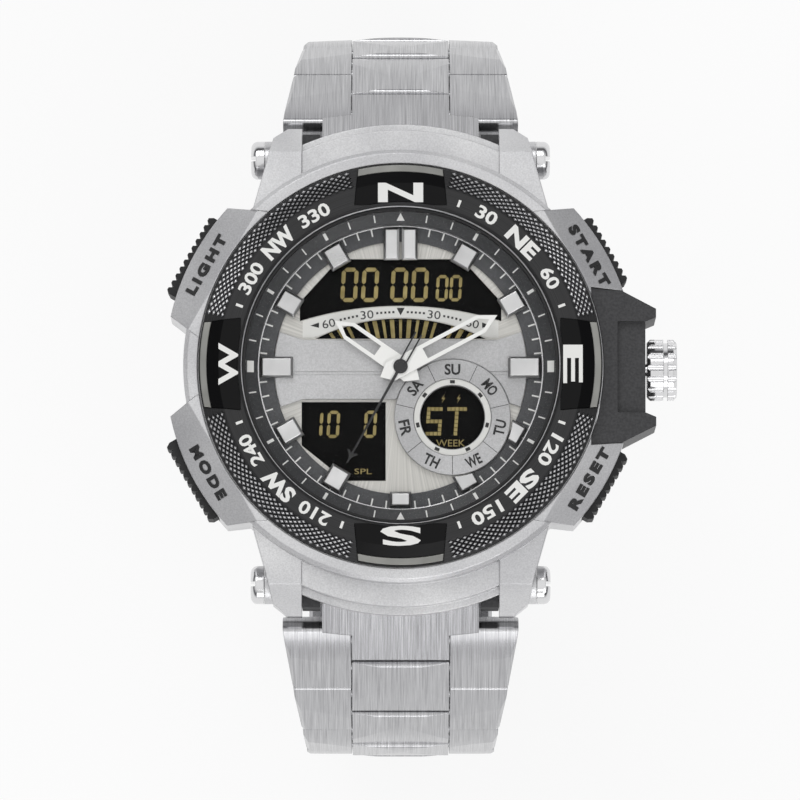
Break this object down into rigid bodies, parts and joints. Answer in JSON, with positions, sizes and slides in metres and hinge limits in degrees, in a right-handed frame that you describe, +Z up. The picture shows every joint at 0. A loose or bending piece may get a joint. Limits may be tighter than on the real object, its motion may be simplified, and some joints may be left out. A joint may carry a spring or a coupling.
{
  "type": "ana digi watch",
  "caption": "Round wristwatch with hands and digital displays, a numbered turning bezel, side pushers, a guarded crown and a three-piece steel link bracelet closed by a folding clasp.",
  "frame": {"origin": "centre of the clasp cover's flat outer face, straight under the dial's centre, where the closed watch stands", "axes": "+Z up out of the dial, +Y to 12 o'clock, +X to 3 o'clock and the crown"},
  "size_m": [0.0531, 0.0772, 0.0706],
  "materials": {
    "satin_steel_case": "satin, fine grain",
    "brushed_steel_links": "brushed with polished edges",
    "pin_steel": "polished",
    "black_resin": "matt moulded",
    "black_gloss_resin": "gloss",
    "black_rubber": "matt",
    "dark_bezel_metal": "matt black, knurled edge",
    "mineral_glass": "clear polished",
    "dial_black": "matt",
    "dial_silver": "grained",
    "display_cell": "dark display glass",
    "hand_white": "satin paint",
    "hand_black": "satin paint",
    "board_green": "matt",
    "movement_brass": "plated",
    "seal_rubber": "matt"
  },
  "bodies": {
    "case": {"case_shell": "satin_steel_case", "case_core": "black_resin", "crown_block": "black_resin", "case_back": "satin_steel_case", "case_back_screws": "pin_steel", "case_back_gasket": "seal_rubber", "crystal": "mineral_glass", "crystal_gasket": "seal_rubber", "chapter_ring": "dial_black", "dial_flange": "dial_black", "dial_plate": "dial_silver", "dial_bridge": "dial_silver", "weekday_ring": "dial_silver", "hour_markers": "pin_steel", "display_panels": "display_cell", "module_frame": "black_resin", "quartz_movement": "movement_brass", "circuit_board": "board_green", "battery_cell": "pin_steel", "buzzer_disc": "movement_brass", "crown_tube": "pin_steel", "lug_screws": "pin_steel", "upper_lug_bar": "pin_steel", "lower_lug_bar": "pin_steel", "pusher_springs": "pin_steel"},
    "bezel": {"bezel_ring": "dark_bezel_metal", "bezel_plates": "black_gloss_resin", "bezel_strips": "satin_steel_case"},
    "hour_hand": {"hour_hand": "hand_white"},
    "minute_hand": {"minute_hand": "hand_white"},
    "second_hand": {"second_hand": "hand_black"},
    "stem_clip": {"stem_retainer": "pin_steel"},
    "crown": {"crown": "satin_steel_case", "crown_stem": "pin_steel"},
    "pusher_two": {"pusher_two": "black_rubber"},
    "pusher_four": {"pusher_four": "black_rubber"},
    "pusher_eight": {"pusher_eight": "black_rubber"},
    "pusher_ten": {"pusher_ten": "black_rubber"},
    "upper_end_link": {"upper_end_link": "brushed_steel_links"},
    "upper_link_1": {"upper_link_1": "brushed_steel_links"},
    "upper_link_2": {"upper_link_2": "brushed_steel_links"},
    "upper_link_3": {"upper_link_3": "brushed_steel_links"},
    "upper_link_4": {"upper_link_4": "brushed_steel_links"},
    "upper_link_5": {"upper_link_5": "brushed_steel_links"},
    "upper_link_6": {"upper_link_6": "brushed_steel_links"},
    "upper_link_7": {"upper_link_7": "brushed_steel_links"},
    "lower_end_link": {"lower_end_link": "brushed_steel_links"},
    "lower_link_1": {"lower_link_1": "brushed_steel_links"},
    "lower_link_2": {"lower_link_2": "brushed_steel_links"},
    "lower_link_3": {"lower_link_3": "brushed_steel_links"},
    "lower_link_4": {"lower_link_4": "brushed_steel_links"},
    "lower_link_5": {"lower_link_5": "brushed_steel_links"},
    "lower_link_6": {"lower_link_6": "brushed_steel_links"},
    "lower_link_7": {"lower_link_7": "brushed_steel_links"},
    "clasp_cover": {"clasp_cover": "brushed_steel_links"},
    "clasp_middle_blade": {"clasp_middle_blade": "brushed_steel_links"},
    "clasp_base_blade": {"clasp_base_blade": "brushed_steel_links"},
    "clasp_button_right": {"clasp_button_right": "pin_steel"},
    "clasp_button_left": {"clasp_button_left": "pin_steel"}
  },
  "joints": [
    {"name": "bezel_turn", "type": "hinge", "parent": "case", "child": "bezel", "pos_m": [0, 0, 0.06857], "axis": [0, 0, 1], "continuous": true},
    {"name": "minute_hand_turn", "type": "hinge", "parent": "case", "child": "minute_hand", "pos_m": [0, 0, 0.06757], "axis": [0, 0, -1], "continuous": true},
    {"name": "hour_hand_turn", "type": "hinge", "parent": "case", "child": "hour_hand", "pos_m": [0, 0, 0.06737], "axis": [0, 0, -1], "continuous": true},
    {"name": "second_hand_turn", "type": "hinge", "parent": "case", "child": "second_hand", "pos_m": [0, 0, 0.06787], "axis": [0, 0, -1], "continuous": true},
    {"name": "crown_pull", "type": "slide", "parent": "case", "child": "stem_clip", "axis": [1, 0, 0], "range_m": [0, 0.0012]},
    {"name": "crown_turn", "type": "hinge", "parent": "stem_clip", "child": "crown", "pos_m": [0.026, 0, 0.06317], "axis": [1, 0, 0], "continuous": true},
    {"name": "pusher_two_press", "type": "slide", "parent": "case", "child": "pusher_two", "axis": [-0.866, -0.5, 0], "range_m": [0, 0.001], "stiffness_N_per_m": 800},
    {"name": "pusher_four_press", "type": "slide", "parent": "case", "child": "pusher_four", "axis": [-0.866, 0.5, 0], "range_m": [0, 0.001], "stiffness_N_per_m": 800},
    {"name": "pusher_eight_press", "type": "slide", "parent": "case", "child": "pusher_eight", "axis": [0.866, 0.5, 0], "range_m": [0, 0.001], "stiffness_N_per_m": 800},
    {"name": "pusher_ten_press", "type": "slide", "parent": "case", "child": "pusher_ten", "axis": [0.866, -0.5, 0], "range_m": [0, 0.001], "stiffness_N_per_m": 800},
    {"name": "upper_end_link_hinge", "type": "hinge", "parent": "case", "child": "upper_end_link", "pos_m": [0, 0.0223, 0.06057], "axis": [-1, 0, 0], "range_deg": [-6, 0]},
    {"name": "upper_link_1_hinge", "type": "hinge", "parent": "upper_end_link", "child": "upper_link_1", "pos_m": [0, 0.02757, 0.05566], "axis": [-1, 0, 0], "range_deg": [-12, 0]},
    {"name": "upper_link_2_hinge", "type": "hinge", "parent": "upper_link_1", "child": "upper_link_2", "pos_m": [0, 0.03273, 0.04828], "axis": [-1, 0, 0], "range_deg": [-14, 0]},
    {"name": "upper_link_3_hinge", "type": "hinge", "parent": "upper_link_2", "child": "upper_link_3", "pos_m": [0, 0.03595, 0.03988], "axis": [-1, 0, 0], "range_deg": [-14, 0]},
    {"name": "upper_link_4_hinge", "type": "hinge", "parent": "upper_link_3", "child": "upper_link_4", "pos_m": [0, 0.03705, 0.03095], "axis": [-1, 0, 0], "range_deg": [-15, 0]},
    {"name": "upper_link_5_hinge", "type": "hinge", "parent": "upper_link_4", "child": "upper_link_5", "pos_m": [0, 0.0358, 0.02204], "axis": [-1, 0, 0], "range_deg": [-16, 0]},
    {"name": "upper_link_6_hinge", "type": "hinge", "parent": "upper_link_5", "child": "upper_link_6", "pos_m": [0, 0.03214, 0.01381], "axis": [-1, 0, 0], "range_deg": [-18, 0]},
    {"name": "upper_link_7_hinge", "type": "hinge", "parent": "upper_link_6", "child": "upper_link_7", "pos_m": [0, 0.02611, 0.00713], "axis": [-1, 0, 0], "range_deg": [-20, 0]},
    {"name": "lower_end_link_hinge", "type": "hinge", "parent": "case", "child": "lower_end_link", "pos_m": [0, -0.0223, 0.06057], "axis": [1, 0, 0], "range_deg": [-6, 0]},
    {"name": "lower_link_1_hinge", "type": "hinge", "parent": "lower_end_link", "child": "lower_link_1", "pos_m": [0, -0.02757, 0.05566], "axis": [1, 0, 0], "range_deg": [-12, 0]},
    {"name": "lower_link_2_hinge", "type": "hinge", "parent": "lower_link_1", "child": "lower_link_2", "pos_m": [0, -0.03273, 0.04828], "axis": [1, 0, 0], "range_deg": [-14, 0]},
    {"name": "lower_link_3_hinge", "type": "hinge", "parent": "lower_link_2", "child": "lower_link_3", "pos_m": [0, -0.03595, 0.03988], "axis": [1, 0, 0], "range_deg": [-14, 0]},
    {"name": "lower_link_4_hinge", "type": "hinge", "parent": "lower_link_3", "child": "lower_link_4", "pos_m": [0, -0.03705, 0.03095], "axis": [1, 0, 0], "range_deg": [-15, 0]},
    {"name": "lower_link_5_hinge", "type": "hinge", "parent": "lower_link_4", "child": "lower_link_5", "pos_m": [0, -0.0358, 0.02204], "axis": [1, 0, 0], "range_deg": [-16, 0]},
    {"name": "lower_link_6_hinge", "type": "hinge", "parent": "lower_link_5", "child": "lower_link_6", "pos_m": [0, -0.03214, 0.01381], "axis": [1, 0, 0], "range_deg": [-18, 0]},
    {"name": "lower_link_7_hinge", "type": "hinge", "parent": "lower_link_6", "child": "lower_link_7", "pos_m": [0, -0.02611, 0.00713], "axis": [1, 0, 0], "range_deg": [-20, 0]},
    {"name": "clasp_cover_hinge", "type": "hinge", "parent": "lower_link_7", "child": "clasp_cover", "pos_m": [0, -0.01817, 0.0029], "axis": [1, 0, 0], "range_deg": [-28, 0]},
    {"name": "clasp_middle_hinge", "type": "hinge", "parent": "clasp_cover", "child": "clasp_middle_blade", "pos_m": [0, 0.01357, 0.0022], "axis": [1, 0, 0], "range_deg": [-90, 0]},
    {"name": "clasp_base_hinge", "type": "hinge", "parent": "clasp_middle_blade", "child": "clasp_base_blade", "pos_m": [0, -0.01257, 0.0029], "axis": [-1, 0, 0], "range_deg": [-90, 0]},
    {"name": "clasp_button_right_press", "type": "slide", "parent": "clasp_cover", "child": "clasp_button_right", "axis": [-1, 0, 0], "range_m": [0, 0.0006], "stiffness_N_per_m": 600},
    {"name": "clasp_button_left_press", "type": "slide", "parent": "clasp_cover", "child": "clasp_button_left", "axis": [1, 0, 0], "range_m": [0, 0.0006], "stiffness_N_per_m": 600}
  ],
  "couplings": [
    {"joint": "hour_hand_turn", "follows": "minute_hand_turn", "ratio": 0.083333}
  ]
}
